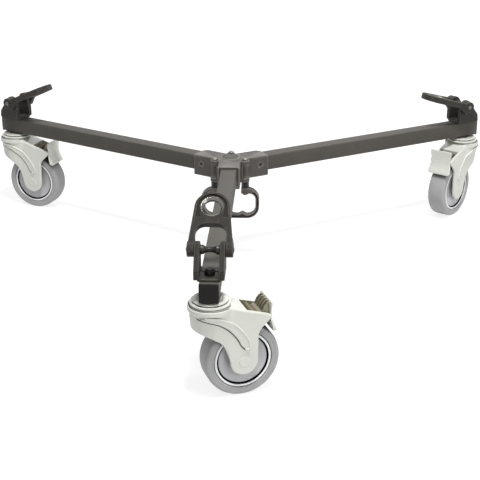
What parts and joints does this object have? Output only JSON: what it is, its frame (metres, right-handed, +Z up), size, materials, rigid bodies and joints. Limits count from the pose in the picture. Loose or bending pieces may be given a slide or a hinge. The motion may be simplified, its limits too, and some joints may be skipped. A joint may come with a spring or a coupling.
{
  "type": "tripod dolly",
  "caption": "Folding tripod dolly: square-tube arms on a cast hub, each with a foot catch, a ring lever and a braked swivel caster; a carry handle hangs below the hub.",
  "frame": {"origin": "centre of the flat round cap on top of the hub", "axes": "+Z up, -Y along the fixed front arm, +X towards the right folding arm; the floor is the plane z = -0.169 m"},
  "size_m": [0.8713, 0.7625, 0.2507],
  "materials": {
    "tube_paint": "satin dark grey paint",
    "casting_paint": "die-cast, grey-brown satin paint",
    "catch_paint": "die-cast, dark satin paint",
    "black_plastic": "black, fine grain",
    "bright_steel": "zinc plated",
    "dark_steel": "blackened",
    "pale_plastic": "pale grey, satin moulded",
    "wheel_plastic": "light grey, moulded",
    "grey_rubber": "grey non-marking rubber"
  },
  "bodies": {
    "frame": {"hub_body": "casting_paint", "hub_cap": "casting_paint", "hub_rear_screw": "bright_steel", "left_hinge_pin": "bright_steel", "right_hinge_pin": "bright_steel", "left_hinge_nut": "dark_steel", "right_hinge_nut": "dark_steel", "carry_handle": "casting_paint", "front_tube": "tube_paint", "front_tube_cap": "black_plastic", "front_foot_bracket": "catch_paint", "front_catch_pin": "bright_steel", "front_stem": "dark_steel", "front_stem_nut": "dark_steel", "front_collar": "pale_plastic"},
    "left_arm": {"left_arm_block": "casting_paint", "left_block_screw": "bright_steel", "left_tube": "tube_paint", "left_tube_cap": "black_plastic", "left_foot_bracket": "catch_paint", "left_catch_pin": "bright_steel", "left_stem": "dark_steel", "left_stem_nut": "dark_steel", "left_collar": "pale_plastic"},
    "right_arm": {"right_arm_block": "casting_paint", "right_block_screw": "bright_steel", "right_tube": "tube_paint", "right_tube_cap": "black_plastic", "right_foot_bracket": "catch_paint", "right_catch_pin": "bright_steel", "right_stem": "dark_steel", "right_stem_nut": "dark_steel", "right_collar": "pale_plastic"},
    "front_lever": {"front_lever": "catch_paint"},
    "front_roller": {"front_catch_roller": "dark_steel"},
    "front_fork": {"front_housing": "pale_plastic", "front_axle": "bright_steel", "front_pedal_pin": "bright_steel", "front_brake_cam": "dark_steel"},
    "front_pedal": {"front_pedal": "pale_plastic"},
    "front_wheel": {"front_wheel_core": "wheel_plastic", "front_tyre": "grey_rubber"},
    "left_lever": {"left_lever": "catch_paint"},
    "left_roller": {"left_catch_roller": "dark_steel"},
    "left_fork": {"left_housing": "pale_plastic", "left_axle": "bright_steel", "left_pedal_pin": "bright_steel", "left_brake_cam": "dark_steel"},
    "left_pedal": {"left_pedal": "pale_plastic"},
    "left_wheel": {"left_wheel_core": "wheel_plastic", "left_tyre": "grey_rubber"},
    "right_lever": {"right_lever": "catch_paint"},
    "right_roller": {"right_catch_roller": "dark_steel"},
    "right_fork": {"right_housing": "pale_plastic", "right_axle": "bright_steel", "right_pedal_pin": "bright_steel", "right_brake_cam": "dark_steel"},
    "right_pedal": {"right_pedal": "pale_plastic"},
    "right_wheel": {"right_wheel_core": "wheel_plastic", "right_tyre": "grey_rubber"}
  },
  "joints": [
    {"name": "left_fold", "type": "hinge", "parent": "frame", "child": "left_arm", "pos_m": [-0.0245, -0.014, -0.019], "axis": [0, 0, 1], "range_deg": [0, 95]},
    {"name": "right_fold", "type": "hinge", "parent": "frame", "child": "right_arm", "pos_m": [0.0245, -0.014, -0.019], "axis": [0, 0, -1], "range_deg": [0, 95]},
    {"name": "front_lever_pull", "type": "hinge", "parent": "frame", "child": "front_lever", "pos_m": [0, -0.459, 0.0285], "axis": [1, 0, 0], "range_deg": [-51.5, 93.5]},
    {"name": "front_roller_spin", "type": "hinge", "parent": "frame", "child": "front_roller", "pos_m": [0, -0.459, 0.0285], "axis": [1, 0, 0], "continuous": true},
    {"name": "front_swivel", "type": "hinge", "parent": "frame", "child": "front_fork", "pos_m": [0, -0.469, -0.04], "axis": [0, 0, 1], "continuous": true},
    {"name": "front_brake_release", "type": "hinge", "parent": "front_fork", "child": "front_pedal", "pos_m": [0.05742, -0.44557, -0.061], "axis": [0.3778, -0.9259, 0], "range_deg": [0, 12]},
    {"name": "front_wheel_spin", "type": "hinge", "parent": "front_fork", "child": "front_wheel", "pos_m": [0.03518, -0.45464, -0.119], "axis": [-0.3778, 0.9259, 0], "continuous": true},
    {"name": "left_lever_pull", "type": "hinge", "parent": "left_arm", "child": "left_lever", "pos_m": [-0.39751, 0.2295, 0.0285], "axis": [-0.5, -0.866, 0], "range_deg": [-39.5, 105.5]},
    {"name": "left_roller_spin", "type": "hinge", "parent": "left_arm", "child": "left_roller", "pos_m": [-0.39751, 0.2295, 0.0285], "axis": [-0.5, -0.866, 0], "continuous": true},
    {"name": "left_swivel", "type": "hinge", "parent": "left_arm", "child": "left_fork", "pos_m": [-0.40617, 0.2345, -0.04], "axis": [0, 0, 1], "continuous": true},
    {"name": "left_brake_release", "type": "hinge", "parent": "left_fork", "child": "left_pedal", "pos_m": [-0.34729, 0.21503, -0.061], "axis": [-0.314, -0.9494, 0], "range_deg": [0, 12]},
    {"name": "left_wheel_spin", "type": "hinge", "parent": "left_fork", "child": "left_wheel", "pos_m": [-0.37009, 0.22257, -0.119], "axis": [0.314, 0.9494, 0], "continuous": true},
    {"name": "right_lever_pull", "type": "hinge", "parent": "right_arm", "child": "right_lever", "pos_m": [0.39751, 0.2295, 0.0285], "axis": [-0.5, 0.866, 0], "range_deg": [-31.8, 113.2]},
    {"name": "right_roller_spin", "type": "hinge", "parent": "right_arm", "child": "right_roller", "pos_m": [0.39751, 0.2295, 0.0285], "axis": [-0.5, 0.866, 0], "continuous": true},
    {"name": "right_swivel", "type": "hinge", "parent": "right_arm", "child": "right_fork", "pos_m": [0.40617, 0.2345, -0.04], "axis": [0, 0, 1], "continuous": true},
    {"name": "right_brake_release", "type": "hinge", "parent": "right_fork", "child": "right_pedal", "pos_m": [0.37007, 0.18408, -0.061], "axis": [-0.8131, 0.5821, 0], "range_deg": [0, 12]},
    {"name": "right_wheel_spin", "type": "hinge", "parent": "right_fork", "child": "right_wheel", "pos_m": [0.38405, 0.2036, -0.119], "axis": [0.8131, -0.5821, 0], "continuous": true}
  ]
}
